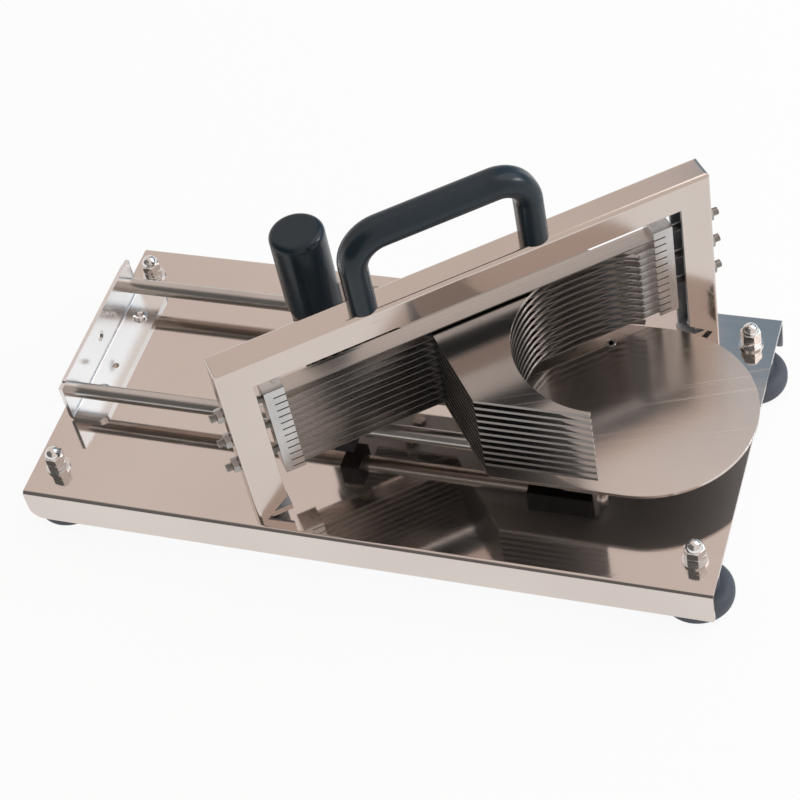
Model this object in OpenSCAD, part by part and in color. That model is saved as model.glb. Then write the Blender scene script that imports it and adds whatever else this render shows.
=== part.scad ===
// Tomato slicer: a fixed comb of blades in a slanted frame, and a fork of fins that slides between them.
// Millimetres. Z is up, X runs along the base, and the slide runs along X.
// The origin is on the table, under the middle of the base. The slide is drawn at the end of its cut.

/* [Base] */
// Length of the base plate
base_l = 430; // [400:1:500]
// Width of the base plate over its folded skirts
base_w = 214; // [200:1:240]
// Height of the base's top face over the table
base_h = 36; // [32:1:60]
// Thickness of the base sheet
base_t = 2; // [1.5:0.1:3]
// Height of the folded skirts, down from the top face
skirt_h = 24; // [12:1:28]
// Inner radius of the folds
fold_in_r = 1; // [0.5:0.1:4]
// Radius of the skirts' lower corners at the left end
skirt_corner_r = 9; // [2:0.5:11]
// Radius of the skirts' lower corners at the right end
skirt_right_r = 2; // [1:0.5:11]

/* [Feet] */
// Distance from a foot's axis to the end of the base
foot_end = 15; // [12:1:30]
// Gap between a pad's edge and the skirt
foot_gap = 0.3; // [0.3:0.1:12]
// Diameter of the rubber pad
foot_d = 43; // [34:1:50]
// Height of the rubber pad
foot_pad_h = 14; // [13:0.5:20]
// Radius of the pad's rounded edges
foot_edge_r = 6; // [2:0.5:6]
// Diameter of the neck between pad and base
foot_neck_d = 26; // [18:1:30]
// Diameter of the foot bolt
foot_bolt_d = 6; // [5:0.5:8]
// Diameter of the foot bolt's head
foot_head_d = 12; // [10:0.5:15]
// Height of the foot bolt's head
foot_head_h = 4; // [3:0.5:6]
// Depth of the recess in the pad below the bolt's head
foot_recess = 3; // [1:0.5:5]
// Diameter of the washer on the base
foot_washer_d = 15; // [12:0.5:20]
// Thickness of the washer
foot_washer_t = 1.5; // [1:0.1:2.5]
// Width over the flats of lock nut and cap nut
foot_nut_af = 11; // [10:0.5:14]
// Height of the lock nut
foot_nut_h = 5; // [4:0.5:7]
// Height of the cap nut's hexagon
cap_hex_h = 5.5; // [4:0.5:8]
// Step between the cap nut's flats and its dome
cap_step = 0.5; // [0.2:0.1:0.9]

/* [Guide rods] */
// Diameter of a guide rod
rod_d = 10; // [8:0.5:14]
// Height of the rods' axes over the base
rod_z = 17; // [15:0.5:24]
// Y of the front rod
rod_front_y = -34.5; // [-42:0.5:-25]
// X of the rods' right end
rod_right_x = 131; // [118:1:150]
// Running clearance between a slide block and its rod, on the radius
rod_clear = 0.05; // [0.02:0.01:0.1]
// Distance from the base's left end to the outer face of the left bracket
bracket_end = 7.5; // [5:0.5:20]
// Thickness of the bracket sheet
bracket_t = 2.5; // [2:0.1:4]
// Height of the left bracket over the rods' axes
bracket_top = 13; // [9:1:17]
// Gap between the tray and the top of the right bracket
bracket_gap = 1; // [0.5:0.1:2]
// Distance from a rod's axis to the end of its bracket
bracket_over = 11; // [8:0.5:13]
// Length of a bracket's foot along X
bracket_foot = 22; // [16:1:30]
// Inner radius of the bracket's bend
bracket_in_r = 1.5; // [0.5:0.1:3]
// Radius of the bracket's corners
bracket_corner_r = 6; // [2:0.5:8]
// Diameter of the hole in the middle of a bracket's upright
bracket_hole_d = 7; // [4:0.5:10]
// Diameter of the drain hole in a bracket's foot
drain_d = 4.5; // [3:0.5:8]
// Distance of the drain hole from the middle of the foot
drain_shift = -11; // [-18:0.5:18]
// Distance between the screws of a bracket
bracket_screw_gap = 65; // [50:1:80]
// Diameter of the bracket screws
bracket_screw_d = 5; // [4:0.5:6]
// Diameter of the rod end screws
rod_screw_d = 6; // [4:0.5:7]
// Length of a rod end screw inside its rod
rod_screw_in = 14; // [8:1:30]
// Gap between the tray and the rod end screws' heads
rod_head_gap = 0.5; // [0.3:0.1:1.5]
// Height of the rod end screws' heads
rod_head_h = 4.5; // [3:0.5:7]
// Gap between a slide block and the bracket that stops it
stop_gap = 0.4; // [0.3:0.1:2]

/* [Blade frame] */
// Angle of the frame to the base's length
frame_ang = 39.5; // [36:0.5:46]
// X of the frame's middle
frame_mid_x = 54.7; // [45:0.1:62]
// Y of the frame's middle
frame_mid_y = 2.2; // [-8:0.1:8]
// Distance from the nearer post's outer corner to the base's long side
post_edge = 0.2; // [0.2:0.1:10]
// Depth of the frame
frame_d = 18; // [16:0.5:24]
// Thickness of the frame sheet
frame_t = 2; // [1.5:0.1:2.5]
// Inner radius of the frame's bends
frame_in_r = 0.6; // [0.4:0.1:2]
// Width of a post's face
post_w = 20; // [17:0.5:28]
// Height of the top bar's face
bar_h = 19; // [14:0.5:30]
// Free height between the blade blocks and the top bar
head_room = 13.5; // [8:0.5:30]
// Width of the slanted cut at the foot of each post
foot_cut_w = 15; // [8:0.5:16]
// Height of the slanted cut at the foot of each post
foot_cut_h = 13; // [6:0.5:24]
// Diameter of the frame bolts
frame_bolt_d = 6; // [4:0.5:8]
// Width over the flats of the frame nuts
frame_nut_af = 10; // [9:0.5:12]

/* [Blades] */
// Number of blades, with a fin between each two
blade_n = 12; // [8:1:13]
// Distance from blade to blade
blade_pitch = 5.5; // [4.5:0.1:8]
// Thickness of a blade
blade_t = 0.8; // [0.4:0.1:1.5]
// Width of a blade
blade_w = 12; // [8:0.5:15]
// Width of the ground bevels at a blade's cutting edge
grind_w = 2.5; // [1:0.1:4]
// Thickness left at the cutting edge
edge_t = 0.1; // [0.05:0.05:0.3]
// Free height from the tray to the lowest blade's middle
blade_over_tray = 5; // [3:0.1:10]
// Width of a blade block along the frame
block_w = 12.5; // [11:0.5:18]
// Depth of a blade block
block_d = 14; // [10:0.5:16]
// Gap between a post's face and its blade block
block_gap = 4.5; // [2:0.5:10]
// Height of a block below the lowest blade's middle
block_below = 3; // [2:0.5:8]
// Height of a block above the highest blade's middle
block_above = 6; // [3:0.5:14]
// Length of a blade inside its block
blade_in = 7.5; // [4:0.5:8]
// Clearance of a blade in its slot, on each face
slot_clear = 0.05; // [0.03:0.01:0.2]
// Diameter of the pins that hold the blades
pin_d = 3; // [2:0.5:3.5]
// Wall of a block between the blades' ends and the tension screws
block_wall = 1.4; // [0.8:0.1:3]
// Diameter of the tension screws
tension_d = 5; // [4:0.5:6]
// Height of the lowest tension screw over the bottom of its block
tension_low = 16; // [6:0.5:20]
// Depth of the highest tension screw below the top of its block
tension_high = 9.5; // [4:0.5:12]
// Length of a tension screw outside the frame
tension_out = 8; // [5:0.5:12]
// Width over the flats of the tension nuts
tension_nut_af = 8; // [7.5:0.5:10]
// Height of the tension nuts
tension_nut_h = 4; // [3:0.5:5]

/* [Frame handle] */
// Distance between the middles of the handle's legs
handle_span = 106; // [80:1:140]
// Distance of the handle's middle from the frame's middle
handle_shift = -7.5; // [-40:0.5:40]
// Height of the grip's axis over the frame
handle_h = 48.5; // [40:0.5:70]
// Thickness of the handle
handle_t = 16; // [12:0.5:19]
// Width of the handle across the frame
handle_w = 20; // [17:0.5:28]
// Radius of the bends, at the middle of the bar
handle_bend_r = 19; // [12:0.5:26]
// Diameter of the handle screws
handle_screw_d = 6; // [4:0.5:6.5]
// Length of a handle screw inside its leg
handle_screw_in = 18; // [8:1:24]

/* [Tray] */
// Thickness of the tray
tray_t = 2; // [1.5:0.1:3]
// Gap between the tray's side and the left blade block as it passes
tray_gap = 0.4; // [0.3:0.1:8]
// X of the round end's centre
tray_x = 156; // [140:0.5:170]
// Left end of the tray's wing that spans the rods
wing_left = -27; // [-60:1:-20]
// Length of the wing and of the left slide blocks
wing_l = 12; // [10:1:46]

/* [Slide blocks] */
// Length of the right slide blocks
slide_right_l = 40; // [24:1:54]
// Thickness of a slide block above its bore
slide_roof = 1.95; // [1.5:0.05:6]
// Thickness of a slide block below its bore
slide_floor = 3.95; // [1.5:0.05:5]
// Thickness of a slide block beside its bore, on the side without screws
slide_side = 2.35; // [1.5:0.05:8]
// Wall between a slide block's bore and its screws
slide_wall = 1.95; // [1:0.05:6]
// Width of the block and the tray outside the screws' heads
slide_edge = 0.55; // [0.3:0.05:6]
// Distance from the tray's side to the rear slide blocks
slide_inset = 0.1; // [0:0.1:10]
// Diameter of the slide screws
slide_screw_d = 3.5; // [2.5:0.5:4.5]
// Diameter of the slide screws' countersunk heads
slide_head_d = 6; // [5:0.1:9]
// Length of a slide screw inside its block
slide_screw_in = 9; // [5:0.5:13]
// Distance from the ends of a right slide block to its screws
slide_screw_end = 8; // [5:0.5:11]

/* [Pusher] */
// Thickness of a fin
fin_t = 2; // [1:0.1:3]
// Distance from the tray's side to the fork's side
fork_inset = 2.5; // [0:0.1:10]
// Width of a prong at its tip
prong_w = 2.5; // [1.5:0.1:12]
// Width of the fork's tail
tail_w = 30; // [28:0.5:44]
// Length of the fork's tail beyond the wing
tail_over = 29; // [19:0.5:40]
// X where the tail starts to widen
neck_x = 36; // [24:0.5:50]
// X of the notch's centre
notch_x = 141.5; // [125:0.5:158]
// Gap between the clamp spacers and the plane of the frame's back
clamp_back = 8.7; // [3:0.1:15]
// Distance from a clamp spacer to the side of the tail
clamp_edge = 1; // [0.5:0.1:2]
// Diameter of the clamp bolts
clamp_d = 5; // [3:0.5:7]
// Diameter of the fin spacers
spacer_d = 12; // [10.5:0.5:13]
// Diameter of the knob's stud
stud_d = 8; // [5:0.5:9.5]
// Diameter of the knob
knob_d = 33; // [26:0.5:44]
// Length of the knob
knob_l = 56; // [44:1:80]
// Radius of the knob's upper edge
knob_edge_r = 4; // [1:0.5:10]
// Length of the stud inside the knob
stud_in = 30; // [12:1:40]

/* [Fits] */
// Clearance of a bolt in its hole, on the radius
bolt_clear = 0.1; // [0.05:0.05:0.3]

/* [Hidden] */
$fn = 64;
// Overlap that lets a cut reach past a face
cut = 1;
// Length of a bolt's end past its nut
bolt_end = 1;
// A hexagon's corner circle, in widths over its flats
hex_corner = 1 / cos(30);
// Widths over a nut's flats and of a screw's head, and the head's height, in bolt diameters
nut_ratio = 1.6;
head_w_ratio = 2;
head_h_ratio = 0.5;
bolt_head_h = 3.5;
thin_nut_h = 4;
knob_nut_h = 5;
washer_clear = 0.3;

fold_r = base_t + fold_in_r;
base_under = base_h - base_t;
foot_x = base_l / 2 - foot_end;
foot_y = base_w / 2 - base_t - foot_gap - foot_d / 2;
foot_stack = base_h + foot_washer_t + foot_nut_h;
cap_dome_r = foot_nut_af / 2 - cap_step;

// The frame is as long as the base's width allows at its angle
frame_half_y = base_w / 2 - post_edge - abs(frame_mid_y) - frame_d / 2 * cos(frame_ang);
frame_l = 2 * frame_half_y / sin(frame_ang);
frame_x = frame_mid_x + frame_d / 2 * sin(frame_ang);
frame_y = frame_mid_y - frame_d / 2 * cos(frame_ang);
frame_r = frame_t + frame_in_r;
frame_bolt_u = frame_l / 2 - frame_t - post_w / 2;
block_in = frame_l / 2 - post_w - block_gap - block_w;
block_y = frame_d - block_d;
blade_y = block_y + (block_d - blade_w) / 2;
pin_in = blade_in / 2;
tension_in = block_w - blade_in - slot_clear - block_wall;

// Tray and fork pass between the blade blocks, and the left block's rear edge is the narrow place
pass_y = block_in * sin(frame_ang) - frame_d * cos(frame_ang) - frame_y;
tray_r = pass_y - tray_gap;
fork_half = tray_r - fork_inset;
notch_r = fork_half - prong_w;

// A slide block's sides, worked out from its rod and its screws
bore_r = rod_d / 2 + rod_clear;
slide_below = bore_r + slide_floor;
slide_plain = bore_r + slide_side;
slide_screw_y = bore_r + slide_wall + slide_screw_d / 2 + bolt_clear;
slide_bolted = slide_screw_y + slide_head_d / 2 + bolt_clear + slide_edge;
slide_right_x = rod_right_x - stop_gap - slide_right_l;
left_screws = [wing_left + wing_l / 2];
right_screws = [slide_right_x + slide_screw_end, slide_right_x + slide_right_l - slide_screw_end];
tray_under = rod_z + bore_r + slide_roof;
tray_top = tray_under + tray_t;

rod_left_x = -base_l / 2 + bracket_end + bracket_t;
rod_rear_y = tray_r - slide_inset - slide_plain;
rod_mid_y = (rod_front_y + rod_rear_y) / 2;
rod_head_d = 2 * (tray_under - rod_z - rod_head_gap);
bracket_bend_r = bracket_t + bracket_in_r;
bracket_y0 = rod_front_y - bracket_over;
bracket_l = rod_rear_y - rod_front_y + 2 * bracket_over;
bracket_left_h = rod_z + bracket_top;
bracket_right_h = tray_under - bracket_gap;

blade_z = tray_top + blade_over_tray;
block_z = blade_z - block_below;
block_h = block_below + (blade_n - 1) * blade_pitch + block_above;
frame_h = block_z + block_h + head_room + bar_h;
tension_pitch = (block_h - tension_low - tension_high) / 2;
tension_z = [for (i = [0:2]) block_z + tension_low + i * tension_pitch];

function fin_z(i) = blade_z + (i - 0.5) * blade_pitch - fin_t / 2;
fin_n = blade_n - 1;
stack_top = fin_z(fin_n) + fin_t;
knob_x = wing_left - tail_over + tail_w / 2;

// Two clamp bolts side by side in the tail, behind the plane of the frame's back
clamp_y = tail_w / 2 - clamp_edge - spacer_d / 2;
frame_back_x = frame_x - ((clamp_y + frame_y) * cos(frame_ang) + frame_d) / sin(frame_ang);
clamp_x = frame_back_x - (spacer_d / 2 + clamp_back) / sin(frame_ang);
clamp_places = [[clamp_x, -clamp_y], [clamp_x, clamp_y]];

blade_names = [for (i = [1:blade_n]) str("blade_", i)];
fin_names = [for (i = [1:fin_n]) str("fin_", i)];

// Places that several pieces share

module at_base() {
    translate([0, 0, base_h]) children();
}

module at_feet() {
    for (x = [-foot_x, foot_x], y = [-foot_y, foot_y])
        translate([x, y, 0]) children();
}

// The frame's own axes: X along the frame from its middle, Y from its front face to the back
module at_frame() {
    translate([frame_x, frame_y, base_h]) rotate([0, 0, frame_ang]) children();
}

module at_frame_bolts() {
    at_frame()
        for (side = [-1, 1])
            translate([side * frame_bolt_u, frame_d / 2, 0]) children();
}

// X points out of the frame's end here, and starts at the post's outer face
module at_tension() {
    at_frame()
        for (side = [0, 1], z = tension_z)
            mirror([side, 0, 0])
                translate([frame_l / 2, block_y + block_d / 2, z]) children();
}

module at_handle_legs() {
    at_frame()
        for (side = [-1, 1])
            translate([handle_shift + side * handle_span / 2, frame_d / 2, frame_h]) children();
}

// X points from a bracket's outer face towards the rods here
module at_bracket(right) {
    at_base()
        translate([right ? rod_right_x + bracket_t : rod_left_x - bracket_t, 0, 0])
            mirror([right ? 1 : 0, 0, 0]) children();
}

module at_bracket_screws(right) {
    at_bracket(right)
        for (side = [-1, 1])
            translate([bracket_t + bracket_foot / 2, rod_mid_y + side * bracket_screw_gap / 2, 0])
                children();
}

module at_rod_ends(right) {
    at_bracket(right)
        for (y = [rod_front_y, rod_rear_y])
            translate([0, y, rod_z]) rotate([0, 90, 0]) children();
}

// Screw places beside one rod, given by their X, at the tray's top face
module at_slide_screws(screws, rod_y) {
    at_base()
        for (x = screws)
            translate([x, rod_y - slide_screw_y, tray_top]) children();
}

module at_all_slide_screws() {
    for (y = [rod_front_y, rod_rear_y])
        at_slide_screws(concat(left_screws, right_screws), y) children();
}

module at_clamps() {
    at_base()
        for (p = clamp_places)
            translate([p[0], p[1], 0]) children();
}

module at_knob() {
    at_base() translate([knob_x, 0, 0]) children();
}

// Shapes that several pieces share

module hex(af, h) {
    cylinder(d = af * hex_corner, h = h, $fn = 6);
}

module nut(af, h, d) {
    difference() {
        hex(af, h);
        translate([0, 0, -cut]) cylinder(d = d, h = h + 2 * cut);
    }
}

module ring(d, h, hole) {
    difference() {
        cylinder(d = d, h = h);
        translate([0, 0, -cut]) cylinder(d = hole, h = h + 2 * cut);
    }
}

// A screw with its head's seat at z = 0, the shank below and a domed head above
module screw(d, l, head_d, head_h) {
    edge = head_h / 2;
    translate([0, 0, -l]) cylinder(d = d, h = l + head_h / 2);
    rotate_extrude() {
        square([head_d / 2, head_h - edge]);
        square([head_d / 2 - edge, head_h]);
        translate([head_d / 2 - edge, head_h - edge])
            intersection() {
                circle(edge);
                translate([-head_d / 2 + edge, 0]) square(head_d);
            }
    }
}

// Rectangle below y = 0 whose two upper corners are round
module arch(w, h, r) {
    translate([-w / 2, -h]) square([w, h - r]);
    translate([-w / 2 + r, -h]) square([w - 2 * r, h]);
    for (side = [-1, 1])
        translate([side * (w / 2 - r), -r]) circle(r);
}

module round_rect(w, h, r) {
    square([w - 2 * r, h], center = true);
    square([w, h - 2 * r], center = true);
    for (x = [-1, 1], y = [-1, 1])
        translate([x * (w / 2 - r), y * (h / 2 - r)]) circle(r);
}

// The piece that rounds off a corner at the origin of a body that lies towards +X and +Y
module corner_cut(r, h) {
    linear_extrude(h)
        difference() {
            translate([-cut, -cut]) square(r + cut);
            translate([r, r]) circle(r);
        }
}

// Box from z = 0 up, round on its upright edges and its upper edges
module bent_box(l, d, h, r) {
    intersection() {
        translate([-l / 2, 0, h]) rotate([90, 0, 90]) linear_extrude(l) arch(d, h, r);
        translate([0, d / 2, h]) rotate([90, 0, 0]) linear_extrude(d) arch(l, h, r);
        linear_extrude(h) round_rect(l, d, r);
    }
}

// Base, feet and their fasteners

module base_plate() {
    color("#c9bfb8")
        difference() {
            translate([-base_l / 2, 0, base_h]) rotate([90, 0, 90])
                linear_extrude(base_l)
                    difference() {
                        arch(base_w, skirt_h, fold_r);
                        translate([0, -base_t]) arch(base_w - 2 * base_t, skirt_h, fold_in_r);
                    }
            for (side = [0, 1])
                mirror([side, 0, 0])
                    translate([-base_l / 2, base_w / 2 + cut, base_h - skirt_h])
                        rotate([90, 0, 0])
                            corner_cut(side == 0 ? skirt_corner_r : skirt_right_r, base_w + 2 * cut);
            at_feet() cylinder(r = foot_bolt_d / 2 + bolt_clear, h = base_h + cut);
            at_frame_bolts()
                translate([0, 0, -base_t - cut])
                    cylinder(r = frame_bolt_d / 2 + bolt_clear, h = base_t + 2 * cut);
            for (right = [false, true])
                at_bracket_screws(right)
                    translate([0, 0, -base_t - cut])
                        cylinder(r = bracket_screw_d / 2 + bolt_clear, h = base_t + 2 * cut);
        }
}

// A rubber foot: a round-edged pad and a neck, with a recess for the bolt's head
module foot_pads() {
    color("#26282b")
        at_feet()
            rotate_extrude()
                difference() {
                    union() {
                        square([foot_d / 2 - foot_edge_r, foot_pad_h]);
                        translate([0, foot_edge_r])
                            square([foot_d / 2, foot_pad_h - 2 * foot_edge_r]);
                        for (y = [foot_edge_r, foot_pad_h - foot_edge_r])
                            translate([foot_d / 2 - foot_edge_r, y]) circle(foot_edge_r);
                        square([foot_neck_d / 2, base_under]);
                    }
                    translate([-foot_d, -cut]) square([foot_d, base_h + 2 * cut]);
                    translate([0, -cut]) square([foot_bolt_d / 2 + bolt_clear, base_h + 2 * cut]);
                    translate([0, -cut])
                        square([foot_head_d / 2 + bolt_clear, foot_recess + foot_head_h + cut]);
                }
}

module foot_bolts() {
    color("#b9bcc0")
        at_feet() {
            translate([0, 0, foot_recess]) cylinder(d = foot_head_d, h = foot_head_h);
            translate([0, 0, foot_recess])
                cylinder(d = foot_bolt_d, h = foot_stack + cap_hex_h - foot_recess);
        }
}

module foot_washers() {
    color("#cfd2d5")
        at_feet()
            translate([0, 0, base_h])
                ring(foot_washer_d, foot_washer_t, foot_bolt_d + 2 * washer_clear);
}

module foot_lock_nuts() {
    color("#c2c5c9")
        at_feet()
            translate([0, 0, base_h + foot_washer_t])
                nut(foot_nut_af, foot_nut_h, foot_bolt_d + 2 * bolt_clear);
}

module foot_cap_nuts() {
    color("#d6d8da")
        at_feet()
            translate([0, 0, foot_stack])
                difference() {
                    union() {
                        hex(foot_nut_af, cap_hex_h);
                        translate([0, 0, cap_hex_h])
                            intersection() {
                                sphere(cap_dome_r);
                                translate([-foot_nut_af, -foot_nut_af, -cut]) cube(2 * foot_nut_af);
                            }
                    }
                    translate([0, 0, -cut])
                        cylinder(r = foot_bolt_d / 2 + bolt_clear, h = cap_hex_h + cut + bolt_clear);
                }
}

// Guide rods and their brackets

// A bent bracket: an upright with the rods' screw holes and a foot on the base
module rod_bracket(right, h) {
    at_bracket(right)
        difference() {
            translate([0, bracket_y0 + bracket_l, 0]) rotate([90, 0, 0])
                linear_extrude(bracket_l) {
                    translate([0, bracket_bend_r]) square([bracket_t, h - bracket_bend_r]);
                    translate([bracket_bend_r, 0])
                        square([bracket_t + bracket_foot - bracket_bend_r, bracket_t]);
                    intersection() {
                        square(bracket_bend_r);
                        translate([bracket_bend_r, bracket_bend_r])
                            difference() {
                                circle(bracket_bend_r);
                                circle(bracket_in_r);
                            }
                    }
                }
            for (side = [0, 1])
                translate([0, bracket_y0 + bracket_l / 2, 0]) mirror([0, side, 0])
                    translate([0, -bracket_l / 2, 0]) {
                        translate([bracket_t + cut, 0, h]) rotate([0, -90, 0]) rotate([0, 0, 90])
                            mirror([0, 1, 0]) corner_cut(bracket_corner_r, bracket_t + 2 * cut);
                        translate([bracket_t + bracket_foot, 0, -cut])
                            mirror([1, 0, 0]) corner_cut(bracket_corner_r, bracket_t + 2 * cut);
                    }
            for (y = [rod_front_y, rod_rear_y])
                translate([-cut, y, rod_z]) rotate([0, 90, 0])
                    cylinder(r = rod_screw_d / 2 + bolt_clear, h = bracket_t + 2 * cut);
            translate([-cut, rod_mid_y, rod_z]) rotate([0, 90, 0])
                cylinder(d = bracket_hole_d, h = bracket_t + 2 * cut);
            translate([bracket_t + bracket_foot / 2, rod_mid_y + drain_shift, -cut])
                cylinder(d = drain_d, h = bracket_t + 2 * cut);
            for (side = [-1, 1])
                translate([bracket_t + bracket_foot / 2, rod_mid_y + side * bracket_screw_gap / 2, -cut])
                    cylinder(r = bracket_screw_d / 2 + bolt_clear, h = bracket_t + 2 * cut);
        }
}

module left_rod_bracket() {
    color("#d5d2ce") rod_bracket(false, bracket_left_h);
}

module right_rod_bracket() {
    color("#d5d2ce") rod_bracket(true, bracket_right_h);
}

module bracket_screws() {
    color("#c4c7ca")
        for (right = [false, true])
            at_bracket_screws(right)
                translate([0, 0, bracket_t])
                    screw(bracket_screw_d, bracket_t + base_t + thin_nut_h + bolt_end,
                        head_w_ratio * bracket_screw_d, head_h_ratio * bracket_screw_d);
}

module bracket_nuts() {
    color("#b4b7ba")
        for (right = [false, true])
            at_bracket_screws(right)
                translate([0, 0, -base_t - thin_nut_h])
                    nut(nut_ratio * bracket_screw_d, thin_nut_h, bracket_screw_d + 2 * bolt_clear);
}

module guide_rod(y) {
    at_base()
        translate([rod_left_x, y, rod_z]) rotate([0, 90, 0])
            difference() {
                cylinder(d = rod_d, h = rod_right_x - rod_left_x);
                translate([0, 0, -cut])
                    cylinder(r = rod_screw_d / 2 + bolt_clear, h = rod_screw_in + 2 * cut);
                translate([0, 0, rod_right_x - rod_left_x - rod_screw_in - cut])
                    cylinder(r = rod_screw_d / 2 + bolt_clear, h = rod_screw_in + 2 * cut);
            }
}

module front_guide_rod() {
    color("#c8c6c4") guide_rod(rod_front_y);
}

module rear_guide_rod() {
    color("#c8c6c4") guide_rod(rod_rear_y);
}

module rod_end_screws() {
    color("#cdd0d2")
        for (right = [false, true])
            at_rod_ends(right)
                mirror([0, 0, 1])
                    screw(rod_screw_d, bracket_t + rod_screw_in, rod_head_d, rod_head_h);
}

// Blade frame and blades

// A channel bent into an upside-down U, open below and towards the blades
module blade_frame() {
    open_l = frame_l - 2 * post_w;
    color("#d8cdc6") {
        difference() {
            at_frame()
                difference() {
                    translate([0, frame_d / 2, 0]) bent_box(frame_l, frame_d, frame_h, frame_r);
                    translate([0, frame_d / 2, -cut])
                        bent_box(frame_l - 2 * frame_t, frame_d - 2 * frame_t,
                            frame_h - frame_t + cut, frame_in_r);
                    translate([-open_l / 2, -cut, -cut])
                        cube([open_l, frame_d + 2 * cut, frame_h - bar_h + cut]);
                    for (side = [0, 1])
                        mirror([side, 0, 0])
                            translate([open_l / 2, frame_t + cut / 2, 0]) rotate([90, 0, 0])
                                linear_extrude(frame_t + cut)
                                    polygon([[-cut, -cut], [foot_cut_w, -cut], [foot_cut_w, 0],
                                        [0, foot_cut_h], [-cut, foot_cut_h]]);
                }
            at_tension()
                translate([-frame_t - cut, 0, 0]) rotate([0, 90, 0])
                    cylinder(r = tension_d / 2 + bolt_clear, h = frame_t + 2 * cut);
            at_handle_legs()
                translate([0, 0, -frame_t - cut])
                    cylinder(r = handle_screw_d / 2 + bolt_clear, h = frame_t + 2 * cut);
        }
        at_frame()
            for (side = [0, 1])
                mirror([side, 0, 0])
                    difference() {
                        translate([frame_l / 2 - frame_t - post_w, frame_t, 0])
                            cube([post_w, frame_d - 2 * frame_t, frame_t]);
                        translate([frame_bolt_u, frame_d / 2, -cut])
                            cylinder(r = frame_bolt_d / 2 + bolt_clear, h = frame_t + 2 * cut);
                    }
    }
}

module frame_bolts() {
    color("#b9bcc0")
        at_frame_bolts() {
            translate([0, 0, -base_t - bolt_head_h])
                cylinder(d = head_w_ratio * frame_bolt_d, h = bolt_head_h);
            translate([0, 0, -base_t - bolt_head_h])
                cylinder(d = frame_bolt_d, h = bolt_head_h + base_t + frame_t + foot_nut_h + bolt_end);
        }
}

module frame_nuts() {
    color("#c2c5c9")
        at_frame_bolts()
            translate([0, 0, frame_t]) nut(frame_nut_af, foot_nut_h, frame_bolt_d + 2 * bolt_clear);
}

// The right-hand comb that holds the blades' ends, in the frame's own axes
module blade_block() {
    slot_h = blade_t + 2 * slot_clear;
    difference() {
        translate([block_in, block_y, block_z]) cube([block_w, block_d, block_h]);
        for (i = [0:blade_n - 1])
            translate([block_in - cut, block_y - cut, blade_z + i * blade_pitch - slot_h / 2])
                cube([cut + blade_in + slot_clear, block_d + 2 * cut, slot_h]);
        translate([block_in + pin_in, block_y + block_d / 2, block_z - cut])
            cylinder(r = pin_d / 2 + bolt_clear, h = block_h + 2 * cut);
        for (z = tension_z)
            translate([block_in + block_w - tension_in, block_y + block_d / 2, z]) rotate([0, 90, 0])
                cylinder(r = tension_d / 2 + bolt_clear, h = tension_in + cut);
    }
}

module left_blade_block() {
    color("#b5b2b0") at_frame() mirror([1, 0, 0]) blade_block();
}

module right_blade_block() {
    color("#b5b2b0") at_frame() blade_block();
}

// Section of a blade: its back at x = 0, and the edge that faces the fork ground from both sides
module blade_section() {
    polygon([
        [0, -blade_t / 2], [blade_w - grind_w, -blade_t / 2], [blade_w, -edge_t / 2],
        [blade_w, edge_t / 2], [blade_w - grind_w, blade_t / 2], [0, blade_t / 2]
    ]);
}

module blade(i) {
    end = block_in + blade_in;
    color("#9a9690")
        at_frame()
            translate([0, 0, blade_z + (i - 1) * blade_pitch])
                difference() {
                    translate([-end, blade_y, 0]) rotate([90, 0, 90])
                        linear_extrude(2 * end) blade_section();
                    for (side = [-1, 1])
                        translate([side * (block_in + pin_in), block_y + block_d / 2, -blade_t / 2 - cut])
                            cylinder(r = pin_d / 2 + bolt_clear, h = blade_t + 2 * cut);
                }
}

module blade_pins() {
    color("#a9abad")
        at_frame()
            for (side = [-1, 1])
                translate([side * (block_in + pin_in), block_y + block_d / 2, block_z])
                    cylinder(d = pin_d, h = block_h);
}

module tension_screws() {
    reach = post_w + block_gap + tension_in - slot_clear;
    color("#aeb1b4")
        at_tension()
            translate([-reach, 0, 0]) rotate([0, 90, 0])
                cylinder(d = tension_d, h = reach + tension_out);
}

module tension_nuts() {
    color("#c2c5c9")
        at_tension()
            rotate([0, 90, 0]) nut(tension_nut_af, tension_nut_h, tension_d + 2 * bolt_clear);
}

// Section of the handle: a bar with two round sides
module handle_section() {
    r = handle_t / 2;
    square([handle_t, handle_w - handle_t], center = true);
    for (side = [-1, 1])
        translate([0, side * (handle_w / 2 - r)]) circle(r);
}

// The D-shaped handle: two legs, two bends and the grip
module frame_handle() {
    leg_h = handle_h - handle_bend_r;
    color("#1d1f21")
        at_frame()
            translate([handle_shift, frame_d / 2, frame_h])
                difference() {
                    union() {
                        translate([-handle_span / 2 + handle_bend_r, 0, handle_h]) rotate([0, 90, 0])
                            linear_extrude(handle_span - 2 * handle_bend_r) handle_section();
                        for (side = [0, 1])
                            mirror([side, 0, 0]) {
                                translate([handle_span / 2, 0, 0])
                                    linear_extrude(leg_h) handle_section();
                                translate([handle_span / 2 - handle_bend_r, 0, leg_h])
                                    rotate([90, 0, 0])
                                        rotate_extrude(angle = 90)
                                            translate([handle_bend_r, 0]) handle_section();
                            }
                    }
                    for (side = [-1, 1])
                        translate([side * handle_span / 2, 0, -cut])
                            cylinder(r = handle_screw_d / 2 + bolt_clear, h = cut + handle_screw_in);
                }
}

module handle_screws() {
    color("#b9bcc0")
        at_handle_legs()
            translate([0, 0, -frame_t]) mirror([0, 0, 1])
                screw(handle_screw_d, frame_t + handle_screw_in - bolt_clear,
                    head_w_ratio * handle_screw_d, bolt_head_h);
}

// Sliding carriage

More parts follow.
